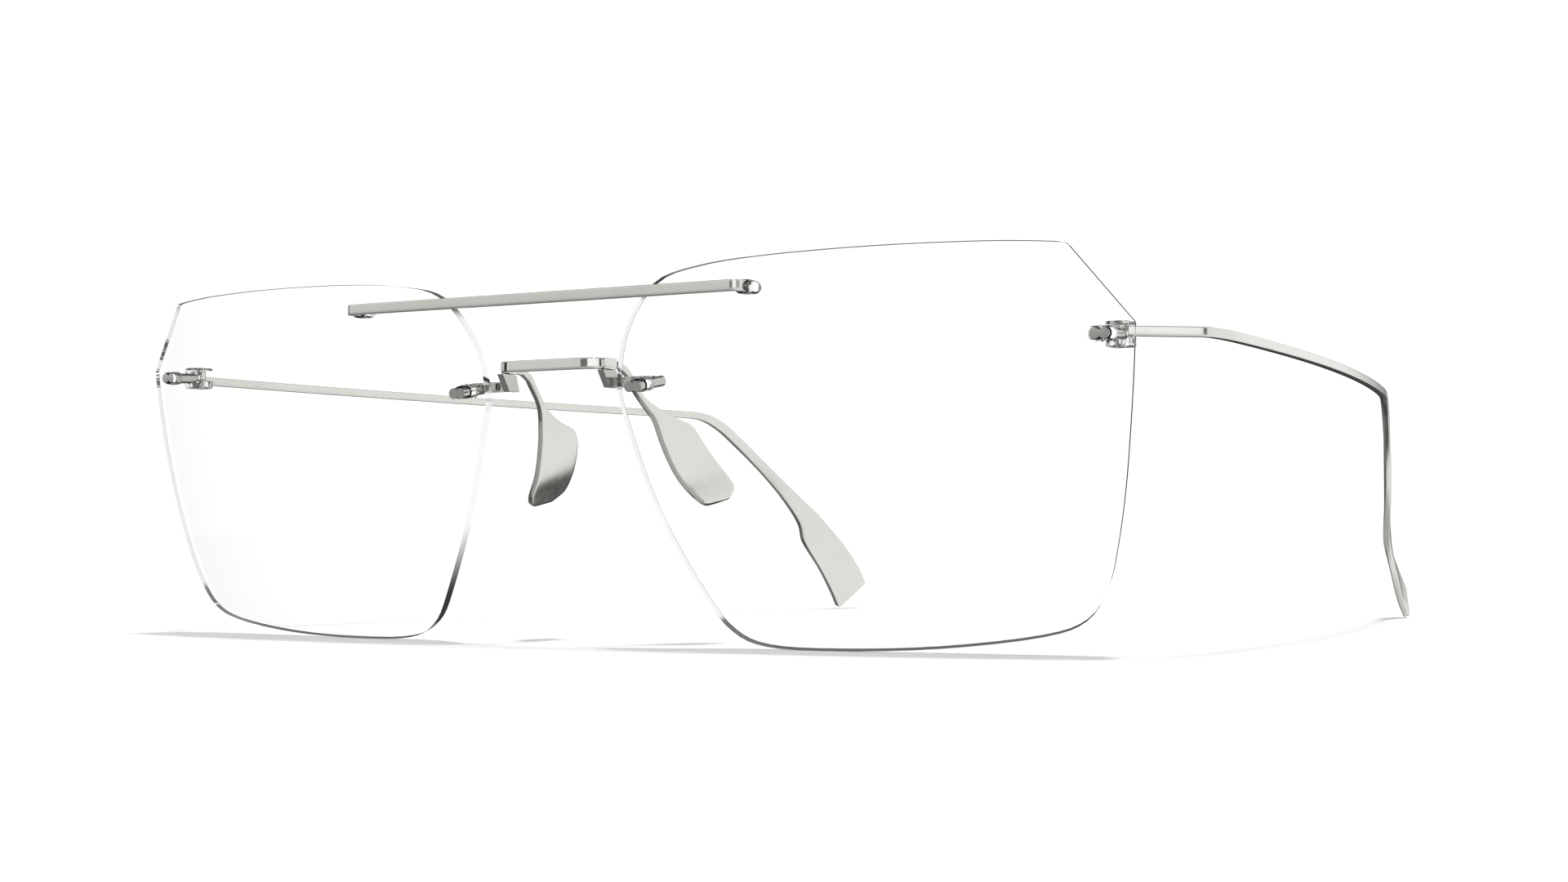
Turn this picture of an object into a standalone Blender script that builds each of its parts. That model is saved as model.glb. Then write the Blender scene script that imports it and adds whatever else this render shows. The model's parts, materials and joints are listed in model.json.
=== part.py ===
"""Rimless eyeglasses: two bare lenses carried by a brow bar and a nose bridge, on folding wire temples.

Frame: +Z up, the wearer faces -Y, +X is on the right as seen from the front. The glasses stand open on a
table, on the lower edges of the lenses and the tips of the temples, and the origin is the middle of that
footprint. Each right-hand piece is modelled once and mirrored. Lengths are in millimetres times MM.
"""
import math

import bmesh
import bpy
from mathutils import Matrix, Vector

MM = 0.001
Y_MIDDLE = 74.27            # from the foremost point of the lenses back to the middle of the object
GAP = 0.06                  # clearance between pieces that touch

# lenses: cut from one spherical shell each
LENS_RADIUS = 137.8
LENS_THICKNESS = 1.3
LENS_CENTRE = (37.46, 2.80, 20.45)
LENS_WRAP = math.radians(6.26)      # outer edge swept back
LENS_TILT = math.radians(9.89)      # top edge leaning forward
# half outline in the lens plane, (outward, up) from the lens centre, clockwise from the outer corner
LENS_OUTLINE = (
    (28.60, 11.95), (28.84, 11.00), (28.35, 4.50), (27.30, -4.00), (26.00, -10.50), (24.70, -14.60),
    (22.40, -17.80), (17.80, -19.40), (7.00, -20.60), (-4.50, -21.05), (-12.60, -20.85), (-16.60, -19.30),
    (-19.60, -15.50), (-24.40, -6.50), (-27.55, 2.60), (-28.46, 7.20), (-27.00, 13.00), (-23.10, 17.70),
    (-17.80, 19.30), (-9.70, 20.10), (2.60, 20.46), (14.10, 20.30), (21.50, 19.80), (22.70, 19.40),
)

# double pins: two round pins side by side, pushed through a clear sleeve in the lens
PIN_RADIUS = 0.60
PIN_SPACING = 1.00
SLEEVE_WALL = 0.14

# brow bar: a straight strip in front of the lenses, its ends bent back into them
BAR_HALF = 26.40
BAR_FRONT_Y = -2.05
BAR_Z = 37.44
BAR_HEIGHT = 1.20
BAR_THICKNESS = 0.90
BAR_LEG_END_Y = 0.90
BAR_PLUG_HALF = 1.15
BAR_PLUG_RADIUS = 0.68
BAR_PLUG_Y = (0.25, 2.45)

# bridge over the nose, with a side wall, a leg and a strap to the double pins on each side
BRIDGE_HALF = 7.20
BRIDGE_FRONT_Y = 0.35
BRIDGE_BEND = 2.70
BRIDGE_Z = (29.75, 31.00)
BRIDGE_THICKNESS = 0.80
BRIDGE_WALL_END_Y = 4.15
LEG_TOP_Y = (1.50, 3.90)
LEG_FOOT_Y = (2.70, 4.50)
LEG_FOOT_Z = 27.84
STRAP_Y = (3.60, 4.45)
STRAP_Z = (27.90, 29.00)
STRAP_WINDOW_X = (7.30, 9.10)
NOSE_PIN_FACE = (11.89, 0.26, 27.63)
NOSE_PIN_LENGTH = 5.30
NOSE_PIN_RISE = math.radians(9.9)

# nose pads: a bent leaf on a narrow arm; (front edge, rear edge) from the arm down to the lower edge
PAD_THICKNESS = 0.75
PAD_SECTIONS = (
    ((7.00, 4.30, 29.85), (7.00, 4.30, 30.75)),
    ((7.00, 5.60, 29.80), (7.00, 5.80, 30.60)),
    ((7.00, 6.70, 29.20), (7.00, 7.25, 29.75)),
    ((7.00, 7.45, 28.20), (7.00, 8.15, 28.45)),
    ((7.10, 8.45, 27.20), (7.10, 9.20, 27.30)),
    ((7.35, 9.25, 26.30), (7.40, 10.40, 26.40)),
    ((7.60, 9.75, 25.60), (7.90, 12.20, 25.60)),
    ((7.90, 10.20, 25.00), (8.15, 14.60, 24.80)),
    ((8.10, 10.45, 24.40), (8.35, 16.90, 24.35)),
    ((8.25, 10.70, 23.60), (8.55, 17.80, 23.30)),
    ((8.50, 11.00, 22.40), (8.95, 18.40, 22.20)),
    ((9.25, 11.65, 19.95), (10.10, 19.40, 20.00)),
    ((10.10, 12.25, 18.10), (11.20, 19.95, 18.55)),
    ((11.40, 12.90, 16.50), (12.10, 20.10, 17.30)),
    ((12.35, 14.10, 15.35), (12.60, 18.20, 16.05)),
)

# hinges: a clear block on the double pins behind each lens, with an upright pivot pin
PIVOT = (62.45, 12.18)
HINGE_PIN_FACE = (62.69, 6.38, 31.48)
HINGE_PIN_END_Y = 11.15
BLOCK_Z = (30.49, 33.04)
BLOCK_SIZE = (2.60, 2.90)
BLOCK_CORNER = 0.75
BLOCK_WEB_END_Y = 11.25
SLOT_Z = (31.44, 32.76)
PIVOT_PIN_RADIUS = 0.33
EYE_RADIUS = 0.80

# temples: one flat wire each, bowed, dropping behind the ear into a flat tip
TEMPLE_THICKNESS = 0.95
TEMPLE_HEIGHT = 1.05
TEMPLE_START_Z = 32.10
TEMPLE_BEND = (69.15, 18.10)
TEMPLE_BEND_RADIUS = 2.2
BOW_START_X = 69.5
BOW_START_Y = 22.0
BOW_SLOPE = -0.0389
BOW_CURVE = -0.001212
EAR_Y = 113.0
EAR_Z = 31.33
# the drop behind the ear and the flat tip, along the middle of the upper and of the lower edge
TIP_UPPER = ((54.76, 117.4, 30.90), (53.55, 121.8, 28.20), (51.10, 129.4, 22.30), (48.90, 136.2, 17.00),
             (48.30, 138.0, 15.60), (46.60, 143.3, 10.80), (46.35, 147.5, 7.20), (46.60, 150.5, 4.20))
TIP_LOWER = ((54.85, 117.1, 29.40), (53.80, 120.9, 26.90), (51.70, 128.2, 21.10), (49.65, 133.9, 14.70),
             (49.15, 134.8, 11.20), (48.75, 139.2, 6.90), (48.50, 142.8, 2.80), (48.75, 145.3, 0.13))

TITANIUM = ((0.46, 0.46, 0.44, 1.0), 0.32, 1.0)
POLISHED_TITANIUM = ((0.56, 0.56, 0.55, 1.0), 0.16, 1.0)
CLEAR_LENS = ((0.92, 0.94, 0.94, 0.35), 0.03, 0.0)
CLEAR_POLYMER = ((0.85, 0.86, 0.86, 0.55), 0.12, 0.0)


def at(x, y, z):
    """A point of the design in metres, in the object's own frame."""
    return Vector((x, y - Y_MIDDLE, z)) * MM


def make_collection(name):
    collection = bpy.data.collections.new(name)
    bpy.context.scene.collection.children.link(collection)
    return collection


def make_material(name, look):
    colour, roughness, metallic = look
    material = bpy.data.materials.new(name)
    material.use_nodes = True
    shader = material.node_tree.nodes["Principled BSDF"]
    shader.inputs["Base Color"].default_value = colour
    shader.inputs["Roughness"].default_value = roughness
    shader.inputs["Metallic"].default_value = metallic
    return material


def add_object(name, mesh, material, collection):
    mesh.materials.clear()
    mesh.materials.append(material)
    obj = bpy.data.objects.new(name, mesh)
    collection.objects.link(obj)
    return obj


def baked(obj):
    """Replace an object's modifiers by the mesh they make."""
    bpy.context.view_layer.update()
    mesh = bpy.data.meshes.new_from_object(obj.evaluated_get(bpy.context.evaluated_depsgraph_get()))
    obj.modifiers.clear()
    obj.data = mesh
    return obj


def boolean(obj, operation, cutters):
    for cutter in cutters:
        modifier = obj.modifiers.new(operation.title(), "BOOLEAN")
        modifier.operation = operation
        modifier.solver = "EXACT"
        modifier.object = cutter
    return baked(obj)


def smooth_through(points, steps):
    """Points of a smooth open curve through the given ones."""
    points = [Vector(p) for p in points]
    padded = [2 * points[0] - points[1]] + points + [2 * points[-1] - points[-2]]
    curve = []
    for a, b, c, d in zip(padded, padded[1:], padded[2:], padded[3:]):
        for step in range(steps):
            t = step / steps
            curve.append(0.5 * (2 * b + (c - a) * t + (2 * a - 5 * b + 4 * c - d) * t ** 2
                                + (3 * b - a - 3 * c + d) * t ** 3))
    return curve + [points[-1]]


def round_corners(points, radius, steps=6):
    """An open path with its inner corners turned into arcs."""
    path = [points[0]]
    for before, corner, after in zip(points, points[1:], points[2:]):
        to_before = (before - corner).normalized()
        to_after = (after - corner).normalized()
        half = to_before.angle(to_after) / 2
        reach = radius / math.tan(half)
        centre = corner + (to_before + to_after).normalized() * (radius / math.sin(half))
        start = corner + to_before * reach - centre
        end = corner + to_after * reach - centre
        sweep = start.angle(end)
        for step in range(steps + 1):
            t = step / steps
            path.append(centre + (start * math.sin((1 - t) * sweep) + end * math.sin(t * sweep)) / math.sin(sweep))
    return path + [points[-1]]


def double_outline(radius, spacing=PIN_SPACING, steps=9):
    """Outline of two overlapping circles side by side, flat in XY."""
    opening = math.acos(spacing / 2 / radius)
    points = []
    for centre, middle in ((spacing / 2, 0.0), (-spacing / 2, math.pi)):
        for step in range(steps + 1):
            angle = middle + (math.pi - opening) * (2 * step / steps - 1)
            points.append((centre + radius * math.cos(angle), radius * math.sin(angle)))
    return points


def slot_outline(half_width, radius, steps=8):
    """Outline of a round-ended slot, flat in XY."""
    points = []
    for centre, start in ((half_width - radius, -math.pi / 2), (radius - half_width, math.pi / 2)):
        for step in range(steps + 1):
            angle = start + math.pi * step / steps
            points.append((centre + radius * math.cos(angle), radius * math.sin(angle)))
    return points


def circle_outline(radius, steps=20):
    return [(radius * math.cos(math.tau * i / steps), radius * math.sin(math.tau * i / steps))
            for i in range(steps)]


def prism_mesh(outlines, depth):
    """A solid mesh from flat outlines (the second one is a hole), standing on XY and rising along +Z."""
    curve = bpy.data.curves.new("outline", "CURVE")
    curve.dimensions = "2D"
    curve.fill_mode = "BOTH"
    curve.extrude = depth * MM / 2
    for outline in outlines:
        spline = curve.splines.new("POLY")
        spline.points.add(len(outline) - 1)
        for point, (x, y) in zip(spline.points, outline):
            point.co = (x * MM, y * MM, 0.0, 1.0)
        spline.use_cyclic_u = True
    holder = bpy.data.objects.new("outline", curve)
    bpy.context.scene.collection.objects.link(holder)
    mesh = bpy.data.meshes.new_from_object(holder.evaluated_get(bpy.context.evaluated_depsgraph_get()))
    bpy.data.objects.remove(holder)
    shape = bmesh.new()
    shape.from_mesh(mesh)
    bmesh.ops.remove_doubles(shape, verts=shape.verts, dist=1e-7)
    bmesh.ops.translate(shape, verts=shape.verts, vec=(0.0, 0.0, depth * MM / 2))
    bmesh.ops.recalc_face_normals(shape, faces=shape.faces)
    shape.to_mesh(mesh)
    shape.free()
    return mesh


def place(mesh, origin, along, across=(1.0, 0.0, 0.0)):
    """Move a mesh made on XY so that its +Z runs along a direction and its +X across it."""
    z_axis = Vector(along).normalized()
    y_axis = z_axis.cross(Vector(across)).normalized()
    x_axis = y_axis.cross(z_axis)
    turn = Matrix((x_axis, y_axis, z_axis)).transposed().to_4x4()
    mesh.transform(Matrix.Translation(origin) @ turn)
    return mesh


def box_mesh(low, high):
    """A box between two corners given in millimetres."""
    shape = bmesh.new()
    bmesh.ops.create_cube(shape, size=1.0)
    size = Vector(high) - Vector(low)
    bmesh.ops.scale(shape, verts=shape.verts, vec=size * MM)
    bmesh.ops.translate(shape, verts=shape.verts, vec=at(*((Vector(low) + Vector(high)) / 2)))
    mesh = bpy.data.meshes.new("box")
    shape.to_mesh(mesh)
    shape.free()
    return mesh


def loft_mesh(sections):
    """A closed solid through a run of sections with the same number of corners."""
    shape = bmesh.new()
    rings = [[shape.verts.new(corner) for corner in section] for section in sections]
    for ring, following in zip(rings, rings[1:]):
        for i, corner in enumerate(ring):
            beside = (i + 1) % len(ring)
            shape.faces.new((corner, ring[beside], following[beside], following[i]))
    shape.faces.new(reversed(rings[0]))
    shape.faces.new(rings[-1])
    bmesh.ops.triangulate(shape, faces=shape.faces)
    bmesh.ops.recalc_face_normals(shape, faces=shape.faces)
    mesh = bpy.data.meshes.new("loft")
    shape.to_mesh(mesh)
    shape.free()
    return mesh


def strip_section(front, rear, normal, thickness):
    """Four corners of a flat strip between two edge points."""
    offset = normal.normalized() * thickness * MM / 2
    return [front - offset, rear - offset, rear + offset, front + offset]


def strip_mesh(path, width, thickness):
    """A flat strip standing on edge along a level path."""
    rise = Vector((0.0, 0.0, width * MM / 2))
    sections = []
    for i, point in enumerate(path):
        ahead = path[min(i + 1, len(path) - 1)] - path[max(i - 1, 0)]
        sections.append(strip_section(point - rise, point + rise, ahead.cross(rise), thickness))
    return loft_mesh(sections)


def make_cutter(mesh, cutters):
    cutter = bpy.data.objects.new("cutter", mesh)
    cutter.hide_render = True
    cutter.display_type = "WIRE"
    cutters.objects.link(cutter)
    return cutter


def mirrored(obj, name, collection):
    """The left-hand twin of a finished right-hand piece."""
    mesh = obj.data.copy()
    mesh.transform(Matrix.Scale(-1.0, 4, (1.0, 0.0, 0.0)))
    mesh.flip_normals()
    twin = bpy.data.objects.new(name, mesh)
    twin.location = Vector((-1.0, 1.0, 1.0)) * obj.location
    collection.objects.link(twin)
    return twin


def set_origin(obj, point):
    obj.data.transform(Matrix.Translation(-point))
    obj.location = point


def lens_axes():
    """Turn from the lens plane (outward, up, forward) into the object's frame."""
    turn = Matrix.Rotation(LENS_WRAP, 3, "Z") @ Matrix.Rotation(LENS_TILT, 3, "X")
    return turn @ Matrix(((1.0, 0.0, 0.0), (0.0, 0.0, -1.0), (0.0, 1.0, 0.0)))


def lens_front_y(x, z):
    """Depth of the lens's front surface, in design millimetres."""
    centre = Vector(LENS_CENTRE) - lens_axes().col[2] * LENS_RADIUS
    return centre.y - math.sqrt(LENS_RADIUS ** 2 - (x - centre.x) ** 2 - (z - centre.z) ** 2)


def pin_direction():
    return Vector((0.0, math.cos(NOSE_PIN_RISE), math.sin(NOSE_PIN_RISE)))


def hinge_direction():
    foot = Vector((PIVOT[0], PIVOT[1], sum(BLOCK_Z) / 2))
    return (foot - Vector(HINGE_PIN_FACE)).normalized()


def make_lens(material, collection, cutters):
    across, depth = 64, 48
    shape = bmesh.new()
    bmesh.ops.create_grid(shape, x_segments=16, y_segments=12, size=0.5)
    for vert in shape.verts:
        vert.co.x *= across
        vert.co.y *= depth
        vert.co.z = math.sqrt(LENS_RADIUS ** 2 - vert.co.x ** 2 - vert.co.y ** 2) - LENS_RADIUS
        vert.co *= MM
    mesh = bpy.data.meshes.new("lens")
    shape.to_mesh(mesh)
    shape.free()
    frame = Matrix.Translation(at(*LENS_CENTRE)) @ lens_axes().to_4x4()
    mesh.transform(frame)
    lens = add_object("lens_right", mesh, material, collection)
    shell = lens.modifiers.new("Solidify", "SOLIDIFY")
    shell.thickness = LENS_THICKNESS * MM
    shell.offset = -1.0
    baked(lens)
    outline = [tuple(p) for p in smooth_through(LENS_OUTLINE, 4)]
    blank = prism_mesh([outline], 14.0)
    blank.transform(frame @ Matrix.Translation((0.0, 0.0, -10.0 * MM)))
    boolean(lens, "INTERSECT", [make_cutter(blank, cutters)])
    hole = PIN_RADIUS + SLEEVE_WALL + 2 * GAP
    drills = []
    for face, along in ((NOSE_PIN_FACE, pin_direction()), (HINGE_PIN_FACE, hinge_direction())):
        drill = prism_mesh([double_outline(hole)], 8.0)
        drills.append(place(drill, at(*(Vector(face) - 2 * along)), along))
    drill = prism_mesh([slot_outline(BAR_PLUG_HALF + GAP, BAR_PLUG_RADIUS + GAP)], 6.0)
    drills.append(place(drill, at(bar_leg_x(), -2.0, BAR_Z), (0, 1, 0)))
    return boolean(lens, "DIFFERENCE", [make_cutter(drill, cutters) for drill in drills])


def bar_leg_x():
    return BAR_HALF - BAR_THICKNESS / 2


def make_brow_bar(material, collection):
    """The straight strip with a leg bent back at each end; each leg ends in a half circle."""
    inner_y = BAR_FRONT_Y + BAR_THICKNESS / 2
    corner = Vector((bar_leg_x(), inner_y, BAR_Z))
    path = round_corners([at(-corner.x, BAR_LEG_END_Y, BAR_Z), at(-corner.x, inner_y, BAR_Z),
                          at(corner.x, inner_y, BAR_Z), at(corner.x, BAR_LEG_END_Y, BAR_Z)],
                         BAR_THICKNESS * 0.62 * MM)
    return add_object("brow_bar", strip_mesh(path, BAR_HEIGHT, BAR_THICKNESS), material, collection)


def make_bar_plug(material, collection, cutters):
    """A clear round-ended plug through the lens, with a pocket for the brow bar's leg."""
    start, end = BAR_PLUG_Y
    mesh = prism_mesh([slot_outline(BAR_PLUG_HALF, BAR_PLUG_RADIUS)], end - start)
    plug = add_object("bar_plug_right", place(mesh, at(bar_leg_x(), start, BAR_Z), (0, 1, 0)), material,
                      collection)
    half_x = BAR_THICKNESS / 2 + GAP
    half_z = BAR_HEIGHT / 2 + GAP / 2
    pocket = box_mesh((bar_leg_x() - half_x, start - 1, BAR_Z - half_z),
                      (bar_leg_x() + half_x, BAR_LEG_END_Y + GAP, BAR_Z + half_z))
    return boolean(plug, "DIFFERENCE", [make_cutter(pocket, cutters)])


def make_bridge(material, collection):
    """The strip over the nose: a flat front, two round bends and two side walls running back."""
    half = BRIDGE_HALF - BRIDGE_THICKNESS / 2
    front = BRIDGE_FRONT_Y + BRIDGE_THICKNESS / 2
    z = sum(BRIDGE_Z) / 2
    path = round_corners([at(-half, BRIDGE_WALL_END_Y, z), at(-half, front, z), at(half, front, z),
                          at(half, BRIDGE_WALL_END_Y, z)],
                         (BRIDGE_BEND - BRIDGE_THICKNESS / 2) * MM, steps=8)
    height = BRIDGE_Z[1] - BRIDGE_Z[0]
    return add_object("bridge", strip_mesh(path, height, BRIDGE_THICKNESS), material, collection)


def make_nose_mount(material, collection, cutters):
    """The leg under the bridge's side wall, the strap behind the lens and the double pins through it."""
    outer = BRIDGE_HALF
    inner = BRIDGE_HALF - BRIDGE_THICKNESS
    leg_side = [(LEG_TOP_Y[0], BRIDGE_Z[0] - GAP), (LEG_TOP_Y[1], BRIDGE_Z[0] - GAP),
                (LEG_FOOT_Y[1], LEG_FOOT_Z), (LEG_FOOT_Y[0], LEG_FOOT_Z)]
    leg = loft_mesh([[at(x, y, z) for y, z in leg_side] for x in (inner, outer)])
    mount = add_object("nose_mount_right", leg, material, collection)
    pin_x = NOSE_PIN_FACE[0]
    root_x = (inner + outer) / 2
    strap = box_mesh((root_x, STRAP_Y[0], STRAP_Z[0]), (pin_x, STRAP_Y[1], STRAP_Z[1]))
    pins = prism_mesh([double_outline(PIN_RADIUS)], NOSE_PIN_LENGTH)
    place(pins, at(*NOSE_PIN_FACE), pin_direction())
    boolean(mount, "UNION", [make_cutter(strap, cutters), make_cutter(pins, cutters)])
    z_margin = 0.15
    window = box_mesh((STRAP_WINDOW_X[0], STRAP_Y[0] - 1, STRAP_Z[0] + z_margin),
                      (STRAP_WINDOW_X[1], STRAP_Y[0] + 0.45, STRAP_Z[1] - z_margin))
    return boolean(mount, "DIFFERENCE", [make_cutter(window, cutters)])


def make_sleeve(name, face, along, start, end, material, collection):
    """A clear double tube around the pins, between two distances along them."""
    outer = double_outline(PIN_RADIUS + SLEEVE_WALL + GAP)
    inner = double_outline(PIN_RADIUS + GAP)
    mesh = place(prism_mesh([outer, inner], end - start), at(*(Vector(face) + start * along)), along)
    return add_object(name, mesh, material, collection)


def make_nose_pad(material, collection):
    """The arm curving back from the bridge's side wall, widening into the bent leaf."""
    edges = [(at(*front), at(*rear)) for front, rear in PAD_SECTIONS]
    sections = []
    for i, (front, rear) in enumerate(edges):
        before = edges[max(i - 1, 0)]
        after = edges[min(i + 1, len(edges) - 1)]
        ahead = (after[0] + after[1]) - (before[0] + before[1])
        sections.append(strip_section(front, rear, ahead.cross(rear - front), PAD_THICKNESS))
    return add_object("nose_pad_right", loft_mesh(sections), material, collection)


def make_hinge_post(material, collection):
    along = hinge_direction()
    length = (HINGE_PIN_END_Y - HINGE_PIN_FACE[1]) / along.y
    mesh = place(prism_mesh([double_outline(PIN_RADIUS)], length), at(*HINGE_PIN_FACE), along)
    return add_object("hinge_post_right", mesh, material, collection)


def make_hinge_block(material, collection, cutters):
    """A rounded block whose front web holds the double pins and whose rear fork holds the pivot pin."""
    half_x, half_y = BLOCK_SIZE[0] / 2, BLOCK_SIZE[1] / 2
    corners = [Vector((x, y)) for x, y in ((half_x, 0), (half_x, half_y), (-half_x, half_y),
                                           (-half_x, -half_y), (half_x, -half_y), (half_x, 0))]
    outline = [tuple(p) for p in round_corners(corners, BLOCK_CORNER, steps=5)[:-1]]
    body = prism_mesh([outline], BLOCK_Z[1] - BLOCK_Z[0])
    body.transform(Matrix.Translation(at(PIVOT[0], PIVOT[1], BLOCK_Z[0])))
    block = add_object("hinge_block_right", body, material, collection)
    slot = box_mesh((PIVOT[0] - 3, BLOCK_WEB_END_Y, SLOT_Z[0]), (PIVOT[0] + 3, PIVOT[1] + 3, SLOT_Z[1]))
    bore = prism_mesh([circle_outline(PIVOT_PIN_RADIUS + GAP)], 6.0)
    bore.transform(Matrix.Translation(at(PIVOT[0], PIVOT[1], BLOCK_Z[0] - 1)))
    socket = prism_mesh([double_outline(PIN_RADIUS + GAP)], 8.0)
    place(socket, at(*HINGE_PIN_FACE), hinge_direction())
    web = box_mesh((PIVOT[0] - 3, 8.0, BLOCK_Z[0]), (PIVOT[0] + 3, BLOCK_WEB_END_Y + GAP, BLOCK_Z[1]))
    socket_cutter = boolean(make_cutter(socket, cutters), "INTERSECT", [make_cutter(web, cutters)])
    return boolean(block, "DIFFERENCE", [make_cutter(slot, cutters), make_cutter(bore, cutters),
                                         socket_cutter])


def make_hinge_pin(material, collection):
    mesh = prism_mesh([circle_outline(PIVOT_PIN_RADIUS)], BLOCK_Z[1] - BLOCK_Z[0])
    mesh.transform(Matrix.Translation(at(PIVOT[0], PIVOT[1], BLOCK_Z[0])))
    return add_object("hinge_pin_right", mesh, material, collection)


def temple_x(y):
    """Plan view of the temple behind its front bend."""
    run = y - BOW_START_Y
    return BOW_START_X + BOW_SLOPE * run + BOW_CURVE * run ** 2


def temple_edges():
    """Lower and upper edge points from the hinge eye back to the tip, in design millimetres."""
    half = TEMPLE_HEIGHT / 2
    eye = Vector((PIVOT[0], PIVOT[1], TEMPLE_START_Z))
    bend = Vector((*TEMPLE_BEND, TEMPLE_START_Z))
    out = (bend - eye).normalized()
    bow = []
    steps = 14
    for step in range(steps + 1):
        y = BOW_START_Y + (EAR_Y - BOW_START_Y) * step / steps
        z = TEMPLE_START_Z + (EAR_Z - TEMPLE_START_Z) * step / steps
        bow.append(Vector((temple_x(y), y, z)))
    middle = round_corners([eye + 0.55 * EYE_RADIUS * out, bend, bow[0]], TEMPLE_BEND_RADIUS)[:-1] + bow
    lower = [p - Vector((0, 0, half)) for p in middle]
    upper = [p + Vector((0, 0, half)) for p in middle]
    drop_steps = 3
    upper_drop = smooth_through(upper[-2:] + list(TIP_UPPER), drop_steps)[drop_steps + 1:]
    lower_drop = smooth_through(lower[-2:] + list(TIP_LOWER), drop_steps)[drop_steps + 1:]
    return lower + lower_drop, upper + upper_drop


def make_temple(material, collection, cutters):
    """The eye around the pivot pin, the bowed wire and the flat tip."""
    lower, upper = temple_edges()
    sections = []
    for i in range(len(lower)):
        before = max(i - 1, 0)
        after = min(i + 1, len(lower) - 1)
        ahead = (lower[after] + upper[after]) - (lower[before] + upper[before])
        side = ahead.cross(upper[i] - lower[i])
        sections.append(strip_section(at(*lower[i]), at(*upper[i]), side, TEMPLE_THICKNESS))
    temple = add_object("temple_right", loft_mesh(sections), material, collection)
    eye = prism_mesh([circle_outline(EYE_RADIUS, 28)], TEMPLE_HEIGHT)
    foot = at(PIVOT[0], PIVOT[1], TEMPLE_START_Z - TEMPLE_HEIGHT / 2)
    eye.transform(Matrix.Translation(foot))
    boolean(temple, "UNION", [make_cutter(eye, cutters)])
    bore = prism_mesh([circle_outline(PIVOT_PIN_RADIUS + GAP)], 6.0)
    bore.transform(Matrix.Translation(foot - Vector((0, 0, 2 * MM))))
    boolean(temple, "DIFFERENCE", [make_cutter(bore, cutters)])
    set_origin(temple, at(PIVOT[0], PIVOT[1], TEMPLE_START_Z))
    return temple


def main():
    for obj in list(bpy.data.objects):
        bpy.data.objects.remove(obj)
    parts = make_collection("eyeglasses")
    cutters = make_collection("cutters")
    satin = make_material("satin_titanium", TITANIUM)
    polished = make_material("polished_titanium", POLISHED_TITANIUM)
    lens_glass = make_material("clear_lens", CLEAR_LENS)
    polymer = make_material("clear_polymer", CLEAR_POLYMER)

    make_brow_bar(satin, parts)
    make_bridge(satin, parts)
    nose_start = lens_front_y(NOSE_PIN_FACE[0], NOSE_PIN_FACE[2]) - NOSE_PIN_FACE[1]
    right_hand = [
        make_lens(lens_glass, parts, cutters),
        make_bar_plug(polymer, parts, cutters),
        make_nose_mount(polished, parts, cutters),
        make_sleeve("nose_sleeve_right", NOSE_PIN_FACE, pin_direction(), nose_start - 0.15,
                    nose_start + LENS_THICKNESS + 0.45, polymer, parts),
        make_nose_pad(satin, parts),
        make_sleeve("hinge_sleeve_right", HINGE_PIN_FACE, hinge_direction(), 0.0,
                    LENS_THICKNESS + 0.75, polymer, parts),
        make_hinge_post(polished, parts),
        make_hinge_block(polymer, parts, cutters),
        make_hinge_pin(polished, parts),
        make_temple(satin, parts, cutters),
    ]
    for piece in right_hand:
        mirrored(piece, piece.name.replace("right", "left"), parts)
    for obj in parts.objects:
        obj.data.shade_smooth()
        obj.data.set_sharp_from_angle(angle=math.radians(30))


main()
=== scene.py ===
# %% [markdown]
# # Rimless eyeglasses
# Two bare lenses hang from a flat titanium brow bar and a nose bridge, and two flat wires fold behind them.
# The solid model already has every piece in its place, so this lesson only gives each piece its finished
# surface: rounded edges, smooth curves, clear plastic and satin metal. The first step loads that model.

# %% load the solid model
import json
import math

import bmesh
import bpy
from mathutils import Matrix, Vector
from mathutils.geometry import intersect_line_sphere

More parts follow.
